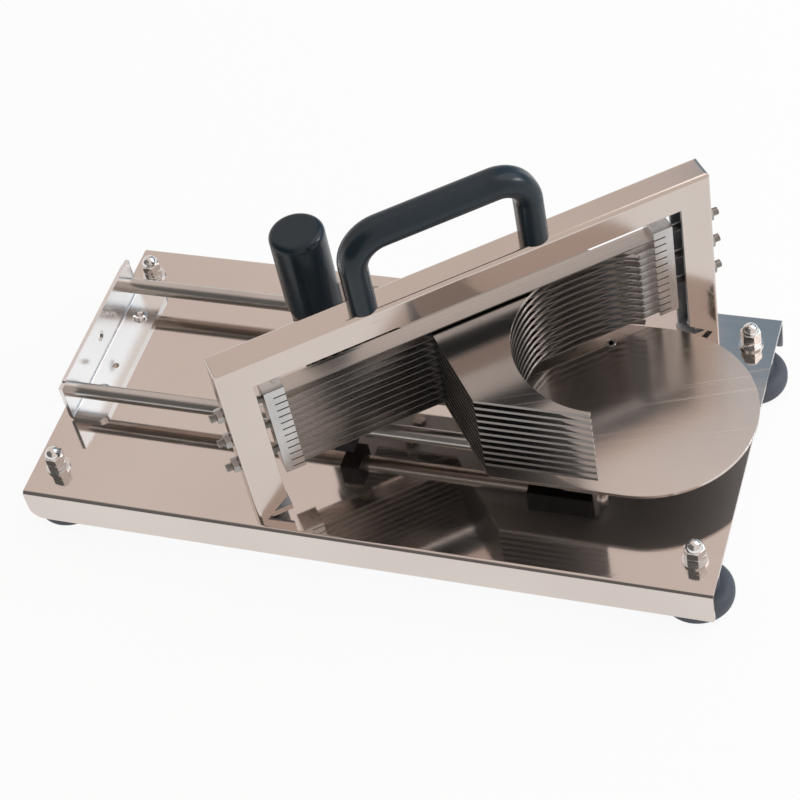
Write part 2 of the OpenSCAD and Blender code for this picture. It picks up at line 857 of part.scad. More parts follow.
// Half outline of tail, neck and side, up to a half width, for the tray and the fins
module fork_outline(half_w, end_x) {
    side_x = neck_x + (half_w - tail_w / 2) * tan(frame_ang);
    polygon([
        [knob_x, -tail_w / 2], [neck_x, -tail_w / 2], [side_x, -half_w], [end_x, -half_w],
        [end_x, half_w], [side_x, half_w], [neck_x, tail_w / 2], [knob_x, tail_w / 2]
    ]);
    translate([knob_x, 0]) circle(d = tail_w);
}

module carriage_tray() {
    wing_y0 = rod_front_y - slide_bolted;
    color("#cbc4be")
        difference() {
            at_base()
                translate([0, 0, tray_under])
                    linear_extrude(tray_t) {
                        fork_outline(tray_r, tray_x);
                        translate([tray_x, 0]) circle(tray_r);
                        translate([wing_left, wing_y0]) square([wing_l, rod_rear_y + slide_plain - wing_y0]);
                    }
            at_all_slide_screws()
                translate([0, 0, -tray_t])
                    cylinder(d1 = slide_screw_d + 2 * bolt_clear, d2 = slide_head_d + 2 * bolt_clear,
                        h = tray_t);
            at_clamps() cylinder(r = clamp_d / 2 + bolt_clear, h = tray_top + cut);
            at_knob() cylinder(r = stud_d / 2 + bolt_clear, h = tray_top + cut);
        }
}

// A slide block under the tray, bored for its rod
module slide_block(x, l, screws, rod_y) {
    color("#222426")
        difference() {
            at_base()
                translate([x, rod_y, rod_z])
                    difference() {
                        translate([0, -slide_bolted, -slide_below])
                            cube([l, slide_bolted + slide_plain, slide_below + tray_under - rod_z]);
                        translate([-cut, 0, 0]) rotate([0, 90, 0])
                            cylinder(r = bore_r, h = l + 2 * cut);
                    }
            at_slide_screws(screws, rod_y)
                translate([0, 0, -tray_t - slide_screw_in])
                    cylinder(r = slide_screw_d / 2 + bolt_clear, h = slide_screw_in + tray_t);
        }
}

module front_left_slide() {
    slide_block(wing_left, wing_l, left_screws, rod_front_y);
}

module rear_left_slide() {
    slide_block(wing_left, wing_l, left_screws, rod_rear_y);
}

module front_right_slide() {
    slide_block(slide_right_x, slide_right_l, right_screws, rod_front_y);
}

module rear_right_slide() {
    slide_block(slide_right_x, slide_right_l, right_screws, rod_rear_y);
}

module slide_screws() {
    color("#b9bcc0")
        at_all_slide_screws() {
            translate([0, 0, -tray_t]) cylinder(d1 = slide_screw_d, d2 = slide_head_d, h = tray_t);
            translate([0, 0, -tray_t - slide_screw_in + bolt_clear])
                cylinder(d = slide_screw_d, h = slide_screw_in + tray_t / 2);
        }
}

// One fin: the fork's outline with the round notch between its prongs
module fin(i) {
    color("#c4bfbb")
        at_base()
            translate([0, 0, fin_z(i)])
                linear_extrude(fin_t)
                    difference() {
                        fork_outline(fork_half, notch_x);
                        translate([notch_x, 0]) circle(notch_r);
                        translate([knob_x, 0]) circle(stud_d / 2 + bolt_clear);
                        for (p = clamp_places)
                            translate(p) circle(clamp_d / 2 + bolt_clear);
                    }
}

// Spacers between the tray and the lowest fin, and from fin to fin
module spacer_column(hole) {
    for (i = [1:fin_n]) {
        low = i == 1 ? tray_top : fin_z(i - 1) + fin_t;
        translate([0, 0, low]) ring(spacer_d, fin_z(i) - low, hole);
    }
}

module fin_spacers() {
    color("#a7a9ab") {
        at_clamps() spacer_column(clamp_d + 2 * bolt_clear);
        at_knob() spacer_column(stud_d + 2 * bolt_clear);
    }
}

module clamp_bolts() {
    color("#b9bcc0")
        at_clamps() {
            translate([0, 0, tray_under - bolt_head_h]) hex(nut_ratio * clamp_d, bolt_head_h);
            translate([0, 0, tray_under - bolt_head_h])
                cylinder(d = clamp_d, h = stack_top - tray_under + bolt_head_h + thin_nut_h + bolt_end);
        }
}

module clamp_nuts() {
    color("#c2c5c9")
        at_clamps()
            translate([0, 0, stack_top]) nut(nut_ratio * clamp_d, thin_nut_h, clamp_d + 2 * bolt_clear);
}

// A threaded stud through tray and fins, with a nut below and the knob above
module knob_stud() {
    color("#b9bcc0")
        at_knob()
            translate([0, 0, tray_under - knob_nut_h - bolt_end])
                cylinder(d = stud_d, h = stack_top - tray_under + knob_nut_h + bolt_end + stud_in);
}

module knob_nut() {
    color("#c2c5c9")
        at_knob()
            translate([0, 0, tray_under - knob_nut_h])
                nut(nut_ratio * stud_d, knob_nut_h, stud_d + 2 * bolt_clear);
}

module push_knob() {
    color("#1d1f21")
        at_knob()
            translate([0, 0, stack_top])
                rotate_extrude()
                    difference() {
                        union() {
                            square([knob_d / 2, knob_l - knob_edge_r]);
                            square([knob_d / 2 - knob_edge_r, knob_l]);
                            translate([knob_d / 2 - knob_edge_r, knob_l - knob_edge_r])
                                circle(knob_edge_r);
                        }
                        translate([0, -cut])
                            square([stud_d / 2 + bolt_clear, stud_in + bolt_clear + cut]);
                    }
}

base_plate();
foot_pads();
foot_bolts();
foot_washers();
foot_lock_nuts();
foot_cap_nuts();
left_rod_bracket();
right_rod_bracket();
bracket_screws();
bracket_nuts();
front_guide_rod();
rear_guide_rod();
rod_end_screws();
blade_frame();
frame_bolts();
frame_nuts();
left_blade_block();
right_blade_block();
for (i = [1:blade_n])
    blade(i);
blade_pins();
tension_screws();
tension_nuts();
frame_handle();
handle_screws();
carriage_tray();
front_left_slide();
front_right_slide();
rear_left_slide();
rear_right_slide();
slide_screws();
for (i = [1:fin_n])
    fin(i);
fin_spacers();
clamp_bolts();
clamp_nuts();
knob_stud();
knob_nut();
push_knob();
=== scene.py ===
# %% [markdown]
# # A hand slicer in polished steel
# The slicer stands on a steel base with four rubber feet. A slanted frame holds a stack of level
# blades, and a fork of thin fins slides on two rods and passes between the blades. The shapes come
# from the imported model, in metres. This lesson gives them their finish, adds the small turned and
# threaded pieces, and sets up the studio and the camera.

# %% Load the model
from math import cos, radians, sin, sqrt, tan, tau

import bmesh
import bpy
from mathutils import Matrix, Vector


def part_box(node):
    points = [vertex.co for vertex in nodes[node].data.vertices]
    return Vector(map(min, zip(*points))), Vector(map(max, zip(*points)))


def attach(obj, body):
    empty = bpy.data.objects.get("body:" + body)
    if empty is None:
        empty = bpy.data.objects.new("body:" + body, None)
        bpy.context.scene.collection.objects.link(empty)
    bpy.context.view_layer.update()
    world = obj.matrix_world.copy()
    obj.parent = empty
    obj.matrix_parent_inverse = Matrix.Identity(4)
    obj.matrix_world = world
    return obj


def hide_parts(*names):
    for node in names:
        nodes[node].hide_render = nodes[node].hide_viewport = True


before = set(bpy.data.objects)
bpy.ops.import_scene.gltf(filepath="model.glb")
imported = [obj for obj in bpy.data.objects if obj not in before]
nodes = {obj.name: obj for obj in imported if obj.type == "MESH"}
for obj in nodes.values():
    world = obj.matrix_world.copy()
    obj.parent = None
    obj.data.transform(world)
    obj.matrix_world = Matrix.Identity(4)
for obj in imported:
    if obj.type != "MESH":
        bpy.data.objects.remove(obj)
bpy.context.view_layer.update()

MM = 0.001
scene = bpy.context.scene

# %% [markdown]
# ## The camera
# A long lens keeps the base's sides nearly parallel, as a catalogue picture does. The camera is
# placed by where it stands round the object, how far it looks down and how much it leans, because
# these three angles are easier to read and to change than a matrix.

# %% Camera
VIEW_AZIMUTH = radians(26.754)
VIEW_ELEVATION = radians(47.870)
VIEW_ROLL = radians(13.126)
CAMERA_PLACE = Vector((0.39534, -0.78522, 1.01346))
LENS_MM = 96.15
SENSOR_MM = 36.0

back = Vector((sin(VIEW_AZIMUTH) * cos(VIEW_ELEVATION),
               -cos(VIEW_AZIMUTH) * cos(VIEW_ELEVATION), sin(VIEW_ELEVATION)))
level_right = Vector((0, 0, 1)).cross(back).normalized()
level_up = back.cross(level_right)
right = level_right * cos(VIEW_ROLL) - level_up * sin(VIEW_ROLL)
up = back.cross(right)

camera_data = bpy.data.cameras.new("photo_camera")
camera_data.lens = LENS_MM
camera_data.sensor_width = SENSOR_MM
camera_data.sensor_fit = "HORIZONTAL"
camera = bpy.data.objects.new("photo_camera", camera_data)
turn = Matrix((right, up, back)).transposed().to_4x4()
camera.matrix_world = Matrix.Translation(CAMERA_PLACE) @ turn
scene.collection.objects.link(camera)
scene.camera = camera
print("camera looks along", [round(-v, 3) for v in back])

# %% [markdown]
# ## Helpers for node materials
# Every finish below is a small tree of nodes. Such a tree can be drawn by hand in the editor, but a
# few helpers keep it short and easy to change: one makes the material, one adds a node with its
# settings and links, and one turns noise into a range of values. All patterns read Object
# coordinates, which are metres here, so a scale is a count per metre. Sheet from a cutter has its
# edges rubbed smooth, and a Bevel node lets the light roll over such an edge without a change to
# the mesh.


# %% Nodes and noise
def add_node(tree, kind, settings=None, **links):
    """Adds a node. A link's name is the input's name, with underscores for spaces."""
    made = tree.nodes.new(kind)
    for key, value in (settings or {}).items():
        setattr(made, key, value)
    for key, value in links.items():
        socket = made.inputs[key.replace("_", " ")]
        if isinstance(value, bpy.types.NodeSocket):
            tree.links.new(value, socket)
        else:
            socket.default_value = value
    return made


def start_material(name):
    """Gives a new material, its tree, its Principled shader and the Object coordinates."""
    material = bpy.data.materials.new(name)
    material.use_nodes = True
    tree = material.node_tree
    shader = tree.nodes["Principled BSDF"]
    place = tree.nodes.new("ShaderNodeTexCoord").outputs["Object"]
    return material, tree, shader, place


def noise(tree, place, scale, stretch=(1, 1, 1), turn_z=0.0, detail=4.0):
    """Noise whose grains are scale per metre, drawn out by stretch after a turn about Z."""
    moved = add_node(tree, "ShaderNodeMapping", {"vector_type": "TEXTURE"}, Vector=place,
                     Rotation=(0, 0, turn_z), Scale=stretch)
    return add_node(tree, "ShaderNodeTexNoise", Vector=moved.outputs[0], Scale=scale,
                    Detail=detail).outputs["Fac"]


# %% Values, colours and bump
NOISE_MIDDLE = (0.3, 0.7)
WHOLE = (0.0, 1.0)
MIX_FACTOR, MIX_FIRST, MIX_SECOND, MIX_COLOUR = 0, 6, 7, 2
BEVEL_SAMPLES = 4


def spread(tree, value, low, high, span=NOISE_MIDDLE):
    """Maps a span of a value, or else the middle of a noise, to a range."""
    return add_node(tree, "ShaderNodeMapRange", Value=value, From_Min=span[0], From_Max=span[1],
                    To_Min=low, To_Max=high).outputs[0]


def mix_colours(tree, factor, first, second):
    """Mixes two colours, each a socket or three numbers."""
    mixed = add_node(tree, "ShaderNodeMix", {"data_type": "RGBA"})
    tree.links.new(factor, mixed.inputs[MIX_FACTOR])
    for index, value in ((MIX_FIRST, first), (MIX_SECOND, second)):
        if isinstance(value, bpy.types.NodeSocket):
            tree.links.new(value, mixed.inputs[index])
        else:
            mixed.inputs[index].default_value = (*value, 1)
    return mixed.outputs[MIX_COLOUR]


def tint(tree, value, low, high):
    """Mixes two colours by a noise."""
    return mix_colours(tree, spread(tree, value, 0, 1), low, high)


def combine(tree, operation, *values):
    """Joins two or more values into one, such as their sum, product or maximum."""
    result = values[0]
    for value in values[1:]:
        joined = add_node(tree, "ShaderNodeMath", {"operation": operation})
        tree.links.new(result, joined.inputs[0])
        tree.links.new(value, joined.inputs[1])
        result = joined.outputs[0]
    return result


def set_surface(tree, shader, colour, rough, metal=1.0):
    """Links a colour and a roughness to a shader, which is metal if nothing else is said."""
    tree.links.new(colour, shader.inputs["Base Color"])
    tree.links.new(rough, shader.inputs["Roughness"])
    shader.inputs["Metallic"].default_value = metal


def bump(tree, shader, height, depth, strength, edge_radius=0.0):
    """Gives a shader a bump of a depth in metres, over edges that are rubbed to a radius."""
    made = add_node(tree, "ShaderNodeBump", Height=height, Distance=depth, Strength=strength)
    if edge_radius:
        rubbed = add_node(tree, "ShaderNodeBevel", {"samples": BEVEL_SAMPLES}, Radius=edge_radius)
        tree.links.new(rubbed.outputs[0], made.inputs["Normal"])
    tree.links.new(made.outputs[0], shader.inputs["Normal"])


# %% [markdown]
# ## Polished steel
# The base, the tray, the brackets, the frame and the fins are stainless sheet with a near mirror
# polish. Such sheet still shows a faint grain from rolling, hands leave soft smudges that blur the
# mirror here and there, and sliding pieces leave a few hair scratches. A long thin noise gives the
# grain, a large soft one the smudges, and the peaks of a much longer one the scratches. A painted
# picture could do it too, but noise has no seams and fits a sheet of any size. Only what shows is
# polished: undersides, and the inside of the folded base and frame, keep the dull, cooler mill
# finish. A face is inside its piece where it looks towards the middle of the piece's box. The fins
# are cut from sheet, so their narrow edges are rougher than their faces. The fins' faces have
# darker tints than the other sheet, and their edges a darker grey still: painted shade and painted
# dark reflection for the inside of the fork.

# %% Tops, walls and insides
UNDERSIDE = (-0.9, -0.7)
STEEP = (0.3, 0.6)
INWARDS = (-0.5 * MM, 0.0)


def facing_up(tree):
    """How far a surface faces up: 1 for a top, 0 for a wall, -1 for an underside."""
    normal = tree.nodes.new("ShaderNodeNewGeometry").outputs["Normal"]
    return add_node(tree, "ShaderNodeSeparateXYZ", Vector=normal).outputs["Z"]


def wall_share(tree, facing, low, high):
    """A value that is high on walls and low on tops and undersides."""
    slope = add_node(tree, "ShaderNodeMath", {"operation": "ABSOLUTE"}, Value=facing)
    return spread(tree, slope.outputs[0], high, low, STEEP)


def inside_share(tree, place, facing, middle):
    """1 where a sheet faces down, or faces the middle of its piece if that is given, and else 0."""
    below = spread(tree, facing, 1.0, 0.0, UNDERSIDE)
    if middle is None:
        return below
    outwards = add_node(tree, "ShaderNodeVectorMath", {"operation": "SUBTRACT"}, Vector=place)
    outwards.inputs[1].default_value = middle
    along = add_node(tree, "ShaderNodeVectorMath", {"operation": "DOT_PRODUCT"},
                     Vector=outwards.outputs[0])
    normal = tree.nodes.new("ShaderNodeNewGeometry").outputs["Normal"]
    tree.links.new(normal, along.inputs[1])
    turned_in = spread(tree, along.outputs["Value"], 1.0, 0.0, INWARDS)
    return combine(tree, "MAXIMUM", below, turned_in)


def box_middle(name):
    """The middle of a node's box."""
    low, high = (Vector(corner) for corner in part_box(name))
    return (low + high) / 2


# %% Polished sheet
SHEET_EDGE = 0.35 * MM
SMUDGES, GRAINS, HAIRS = 9.0, 900.0, 420.0
GRAIN_STRETCH, HAIR_STRETCH = (60, 1, 1), (160, 1, 1)
GRAIN_ROUGH, GRAIN_DEPTH, GRAIN_STRENGTH = 0.015, 0.02 * MM, 0.06
HAIR_SLANT = 0.35
HAIR_PEAKS = (0.66, 0.72)
MILL_GREY, MILL_ROUGH = (0.58, 0.605, 0.63), 0.40
EDGE_SHADE_GREY, CUT_ROUGH = (0.30, 0.28, 0.265), 0.22


def polished_sheet(name, pale, warm, clear, blurred, grain_turn=0.0, worn=0.05, middle=None,
                   rough_shaded_edges=False):
    """Mirror steel: two tints, the roughness of clear and smudged places, and of scratches."""
    material, tree, shader, place = start_material(name)
    smudge = noise(tree, place, SMUDGES, detail=3.0)
    grain = noise(tree, place, GRAINS, GRAIN_STRETCH, grain_turn, detail=2.0)
    hair = noise(tree, place, HAIRS, HAIR_STRETCH, grain_turn + HAIR_SLANT, detail=1.0)
    facing = facing_up(tree)
    inside = inside_share(tree, place, facing, middle)
    rough = combine(tree, "ADD", spread(tree, smudge, clear, blurred),
                    spread(tree, grain, -GRAIN_ROUGH, GRAIN_ROUGH),
                    spread(tree, hair, 0.0, worn, HAIR_PEAKS),
                    spread(tree, inside, 0.0, MILL_ROUGH, WHOLE))
    colour = mix_colours(tree, inside, tint(tree, smudge, pale, warm), MILL_GREY)
    # The edges are rougher, and their darker grey is painted shade.
    if rough_shaded_edges:
        rough = combine(tree, "ADD", rough, wall_share(tree, facing, 0.0, CUT_ROUGH))
        colour = mix_colours(tree, wall_share(tree, facing, 0.0, 1.0), colour, EDGE_SHADE_GREY)
    set_surface(tree, shader, colour, rough)
    bump(tree, shader, grain, GRAIN_DEPTH, GRAIN_STRENGTH, SHEET_EDGE)
    return material


# %% The five sheets
FRAME_TURN = radians(39.5)
base_steel = polished_sheet("base_steel", pale=(0.69, 0.625, 0.585), warm=(0.65, 0.58, 0.54),
                            clear=0.05, blurred=0.10, middle=box_middle("base_plate"))
tray_steel = polished_sheet("tray_steel", pale=(0.71, 0.645, 0.60), warm=(0.66, 0.595, 0.55),
                            clear=0.13, blurred=0.22, worn=0.07)
bracket_steel = polished_sheet("bracket_steel", pale=(0.82, 0.80, 0.785), warm=(0.76, 0.74, 0.725),
                               clear=0.16, blurred=0.25, grain_turn=tau / 4)
frame_steel = polished_sheet("frame_steel", pale=(0.635, 0.56, 0.515), warm=(0.60, 0.525, 0.48),
                             clear=0.12, blurred=0.19, grain_turn=FRAME_TURN,
                             middle=box_middle("blade_frame"))
# The fins' dark tints are painted shade and painted dark reflection inside the fork.
fin_steel = polished_sheet("fin_steel", pale=(0.41, 0.38, 0.36), warm=(0.36, 0.33, 0.31),
                           clear=0.10, blurred=0.18, rough_shaded_edges=True)
print("polished sheets:", [m.name for m in bpy.data.materials if m.name.endswith("_steel")])

# %% [markdown]
# ## Ground steel
# Blades and guide rods are ground, not polished. The wheel leaves fine lines: along a blade, and
# round a rod. A noise stretched along the blade draws the first, and a wave along the rod's axis
# the second. Lines that are cut into the mesh would take millions of faces, so both only change the
# roughness and a very shallow bump. A blade's faces are ground bright, and its narrow edges are
# darker than its faces. The topmost blade has darker, warmer tints than the others: painted shade
# and a painted warm reflection along the top of the stack.

# %% Blades and rods
BLADE_LINES, LINE_STRETCH = 1400.0, (80, 1, 1)
BLADE_EDGE = (0.21, 0.205, 0.20)
ROD_RINGS, ROD_CLOUDS = 900.0, 40.0
RING_DEPTH, RING_STRENGTH = 0.01 * MM, 0.10
GROUND_CLEAR, GROUND_BLURRED = 0.20, 0.30


def ground_blade(name, grey, bright):
    """Steel with lines along the blade between two tints, and dark edges."""
    material, tree, shader, place = start_material(name)
    lines = noise(tree, place, BLADE_LINES, LINE_STRETCH, FRAME_TURN, detail=3.0)
    facing = facing_up(tree)
    colour = mix_colours(tree, wall_share(tree, facing, 0.0, 1.0),
                         tint(tree, lines, grey, bright), BLADE_EDGE)
    rough = combine(tree, "ADD", spread(tree, lines, GROUND_CLEAR, GROUND_BLURRED),
                    wall_share(tree, facing, 0.0, CUT_ROUGH))
    set_surface(tree, shader, colour, rough)
    bump(tree, shader, lines, GRAIN_DEPTH, GRAIN_STRENGTH)
    return material


def ground_rod(name, pale, dull):
    """Steel with rings round the X axis, and clouds of two tints."""
    material, tree, shader, place = start_material(name)
    rings = add_node(tree, "ShaderNodeTexWave", {"bands_direction": "X"}, Vector=place,
                     Scale=ROD_RINGS, Distortion=2.0, Detail=2.0).outputs["Fac"]
    cloud = noise(tree, place, ROD_CLOUDS)
    set_surface(tree, shader, tint(tree, cloud, pale, dull),
                spread(tree, rings, GROUND_CLEAR, GROUND_BLURRED, WHOLE))
    bump(tree, shader, rings, RING_DEPTH, RING_STRENGTH)
    return material


blade_steel = ground_blade("blade_steel", grey=(0.68, 0.66, 0.645), bright=(0.76, 0.74, 0.725))
# The top blade's darker, warmer tints are painted shade and a painted warm reflection.
shaded_top_blade_steel = ground_blade("shaded_top_blade_steel", grey=(0.47, 0.43, 0.40),
                               bright=(0.54, 0.495, 0.465))
rod_steel = ground_rod("rod_steel", pale=(0.60, 0.56, 0.53), dull=(0.52, 0.485, 0.46))
print("ground finishes:", blade_steel.name, shaded_top_blade_steel.name, rod_steel.name)

# %% [markdown]
# ## Milled blocks and fasteners
# The blade blocks are milled aluminium with satin tool marks. The nuts on the feet are bright, the
# other fasteners have the grey of plain stainless screws, and the screws that pull the blades tight
# are a darker grey: painted shade for the shadow they sit in at the posts. One cloud of noise does
# for all the fasteners, because on pieces this small only the tone and the gloss tell one metal
# from another.

# %% Blocks and fasteners
MILL_MARKS, MARK_STRETCH, BLOCK_CLOUDS = 1100.0, (1, 1, 30), 60.0
MARK_DEPTH, MARK_STRENGTH = 0.04 * MM, 0.25
FASTENER_CLOUDS = 260.0
FASTENER_DEPTH, FASTENER_STRENGTH = 0.05 * MM, 0.08


def milled_block(name, pale, dull, clear, blurred):
    """Metal with upright tool marks for the gloss and the bump."""
    material, tree, shader, place = start_material(name)
    marks = noise(tree, place, MILL_MARKS, MARK_STRETCH, detail=2.0)
    cloud = noise(tree, place, BLOCK_CLOUDS)
    set_surface(tree, shader, tint(tree, cloud, pale, dull), spread(tree, marks, clear, blurred))
    bump(tree, shader, marks, MARK_DEPTH, MARK_STRENGTH, SHEET_EDGE)
    return material


def fastener(name, pale, dull, clear, blurred):
    """Metal with one cloud for colour, gloss and bump."""
    material, tree, shader, place = start_material(name)
    cloud = noise(tree, place, FASTENER_CLOUDS)
    set_surface(tree, shader, tint(tree, cloud, pale, dull), spread(tree, cloud, clear, blurred))
    bump(tree, shader, cloud, FASTENER_DEPTH, FASTENER_STRENGTH)
    return material


block_metal = milled_block("block_metal", (0.60, 0.585, 0.575), (0.50, 0.49, 0.48),
                           clear=0.18, blurred=0.28)
bright_metal = fastener("bright_metal", (0.80, 0.79, 0.78), (0.72, 0.71, 0.70),
                        clear=0.05, blurred=0.12)
plain_metal = fastener("plain_metal", (0.60, 0.595, 0.59), (0.50, 0.495, 0.49),
                       clear=0.20, blurred=0.34)
# The tension screws' darker grey is painted shade for the shadow round them at the posts.
shaded_screw_metal = fastener("shaded_screw_metal", (0.36, 0.34, 0.32), (0.44, 0.42, 0.40),
                      clear=0.26, blurred=0.38)
print("block and fastener finishes:", block_metal.name, bright_metal.name, plain_metal.name,
      shaded_screw_metal.name)

# %% [markdown]
# ## Black grips, rubber feet and slide blocks
# Handle and knob are moulded in a hard black plastic with a soft gloss and a slight blue cast.
# The feet are rubber, which is duller and catches dust, and the slide blocks are a matte plastic.
# All three come out of a mould with a fine grain, so one function makes them, and only its tints,
# its gloss and the size of the grain change.

# %% Plastics and rubber
MOULD_CLOUDS = 30.0
MOULD_SPECULAR = 0.35
MOULD_STRENGTH = 0.25


def moulded(name, deep, worn, clear, blurred, grain_scale, grain_depth):
    """A moulded surface: fine grain for the bump, a large cloud for colour and gloss."""
    material, tree, shader, place = start_material(name)
    cloud = noise(tree, place, MOULD_CLOUDS)
    grain = noise(tree, place, grain_scale, detail=3.0)
    set_surface(tree, shader, tint(tree, cloud, deep, worn), spread(tree, cloud, clear, blurred),
                metal=0.0)
    shader.inputs["Specular IOR Level"].default_value = MOULD_SPECULAR
    bump(tree, shader, grain, grain_depth, MOULD_STRENGTH)
    return material


grip_plastic = moulded("grip_plastic", (0.009, 0.020, 0.030), (0.014, 0.028, 0.040),
                       clear=0.20, blurred=0.30, grain_scale=900.0, grain_depth=0.06 * MM)
foot_rubber = moulded("foot_rubber", (0.070, 0.080, 0.102), (0.100, 0.114, 0.142),
                      clear=0.48, blurred=0.64, grain_scale=600.0, grain_depth=0.15 * MM)
slide_plastic = moulded("slide_plastic", (0.018, 0.019, 0.021), (0.030, 0.031, 0.033),
                        clear=0.42, blurred=0.55, grain_scale=700.0, grain_depth=0.08 * MM)
print("moulded finishes:", grip_plastic.name, foot_rubber.name, slide_plastic.name)

# %% [markdown]
# ## Dressing the model
# Each node of the model keeps its mesh and takes the finish of its real piece. A table by name is
# the plainest way, the slide blocks are matched by the end of their names, and the numbered blades
# and fins by the start.

# %% Give each node its finish
FINISH = {
    "base_plate": base_steel, "carriage_tray": tray_steel, "blade_frame": frame_steel,
    "left_rod_bracket": bracket_steel, "right_rod_bracket": bracket_steel,
    "front_guide_rod": rod_steel, "rear_guide_rod": rod_steel,
    "left_blade_block": block_metal, "right_blade_block": block_metal,
    "blade_12": shaded_top_blade_steel, "foot_washers": bright_metal, "foot_pads": foot_rubber,
    "frame_handle": grip_plastic, "push_knob": grip_plastic,
}
STARTS = {"blade_": blade_steel, "fin_": fin_steel}


def finish_of(name):
    """The finish of a node: its own, that of its kind, or plain metal."""
    if name in FINISH:
        return FINISH[name]
    if name.endswith("_slide"):
        return slide_plastic
    for start, material in STARTS.items():
        if name.startswith(start) and name[len(start):].isdigit():
            return material
    return plain_metal


for name, node in nodes.items():
    node.data.materials.clear()
    node.data.materials.append(finish_of(name))
print("dressed", len(nodes), "nodes")

# %% [markdown]
# ## Rings, bridges and copies
# Screws and nuts are turned or hexagonal, so each can be made as a row of rings along its axis with
# a bridge from ring to ring. A ring may be round or six-sided, and it always has the same number of
# points, so any two can be bridged. A piece is made once, standing on Z at the origin, and is then
# copied to all its places, which are read from the solids of the node that it stands for.

# %% Rings and bridges
RING_POINTS = 48
HEX_SIDES = 6


def ring(bm, radius, height, flats=0.0):
    """A ring of edges at a height: round, or a hexagon of that width over its flats."""
    before = set(bm.edges)
    level = Matrix.Translation((0, 0, height))
    if flats:
        bmesh.ops.create_circle(bm, segments=HEX_SIDES, radius=flats / sqrt(3), matrix=level)
        sides = [edge for edge in bm.edges if edge not in before]
        bmesh.ops.subdivide_edges(bm, edges=sides, cuts=RING_POINTS // HEX_SIDES - 1)
    else:
        bmesh.ops.create_circle(bm, segments=RING_POINTS, radius=radius, matrix=level)
    return [edge for edge in bm.edges if edge not in before]


def join_rings(bm, rings, closed=False):
    """Bridges each ring to the next, then the last to the first or a face over both ends."""
    for first, second in zip(rings, rings[1:]):
        bmesh.ops.bridge_loops(bm, edges=first + second)
    if closed:
        bmesh.ops.bridge_loops(bm, edges=rings[-1] + rings[0])
    else:
        for end in (rings[0], rings[-1]):
            bmesh.ops.edgeloop_fill(bm, edges=end)


# %% Places and copies
MERGE = 1e-6
SMOOTH_ANGLE = radians(32)


def solids(name):
    """The lowest and the highest corner of each solid of a node, walked from edge to edge."""
    bm = bmesh.new()
    bm.from_mesh(nodes[name].data)
    bmesh.ops.transform(bm, matrix=nodes[name].matrix_world, verts=bm.verts)
    bmesh.ops.remove_doubles(bm, verts=bm.verts, dist=MERGE)
    left, boxes = set(bm.verts), []
    while left:
        reached = [left.pop()]
        for vert in reached:
            new = {end for edge in vert.link_edges for end in edge.verts} & left
            left -= new
            reached.extend(new)
        axes = list(zip(*(vert.co for vert in reached)))
        boxes.append((Vector([min(axis) for axis in axes]), Vector([max(axis) for axis in axes])))
    bm.free()
    return boxes


def towards(place, direction):
    """A matrix that stands a piece at a place with its Z axis along a direction."""
    turned = Vector(direction).to_track_quat("Z", "Y").to_matrix().to_4x4()
    return Matrix.Translation(place) @ turned


def set_pieces(name, unit, places, material, body):
    """Copies a piece to its places as one object that stands for a node and rides on its body."""
    mesh = bpy.data.meshes.new(name)
    bmesh.ops.remove_doubles(unit, verts=unit.verts, dist=MERGE)
    bmesh.ops.recalc_face_normals(unit, faces=unit.faces)
    unit.to_mesh(mesh)
    unit.free()
    bm = bmesh.new()
    for place in places:
        count = len(bm.verts)
        bm.from_mesh(mesh)
        bm.verts.ensure_lookup_table()
        bmesh.ops.transform(bm, matrix=place, verts=bm.verts[count:])
    bm.to_mesh(mesh)
    bm.free()
    mesh.shade_smooth()
    mesh.set_sharp_from_angle(angle=SMOOTH_ANGLE)
    mesh.materials.append(material)
    piece = bpy.data.objects.new("fine_" + name, mesh)
    scene.collection.objects.link(piece)
    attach(piece, body)
    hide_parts(name)
    print(piece.name, "has", len(places), "copies and", len(mesh.polygons), "faces")


# %% [markdown]
# ## Nuts
# A real nut is a hexagon whose corners are turned off by a cone, which leaves an arc on each flat.
# A cut with a cone would make it too, but here the hexagon's ring simply drops by the cone's slope
# wherever it lies outside the cone's small end, which keeps the mesh clean. A foot's bolt comes up
# through the base and carries a washer, a lock nut and a domed cap nut.

# %% Shapes of the nuts
CONE_SLOPE = tan(radians(30))
CONE_STEP = 0.15 * MM
CAP_HEX = 5.5 * MM
DOME_RINGS = 10


def cone_ring(bm, flats, height, side):
    """A hexagon whose corners keep back from an end face by the slope of the turning cone."""
    edges = ring(bm, 0, height, flats)
    for vert in {vert for edge in edges for vert in edge.verts}:
        vert.co.z -= side * CONE_SLOPE * max(0.0, vert.co.xy.length - flats / 2 + CONE_STEP)
    return edges


def hex_nut(flats, height, bore):
    """A nut that stands on Z, with a plain hole of the radius bore."""
    bm = bmesh.new()
    face = flats / 2 - CONE_STEP
    rings = [ring(bm, bore, 0), ring(bm, face, 0), cone_ring(bm, flats, 0, -1),
             cone_ring(bm, flats, height, 1), ring(bm, face, height), ring(bm, bore, height)]
    join_rings(bm, rings, closed=True)
    return bm


def cap_nut(flats, height, bore):
    """A nut with a dome over its hole."""
    bm = bmesh.new()
    dome = height - CAP_HEX
    rings = [ring(bm, bore, CAP_HEX), ring(bm, bore, 0), ring(bm, flats / 2 - CONE_STEP, 0),
             cone_ring(bm, flats, 0, -1), cone_ring(bm, flats, CAP_HEX, 1)]
    for step in range(DOME_RINGS):
        lift = step / DOME_RINGS * tau / 4
        rings.append(ring(bm, dome * cos(lift), CAP_HEX + dome * sin(lift)))
    join_rings(bm, rings)
    return bm


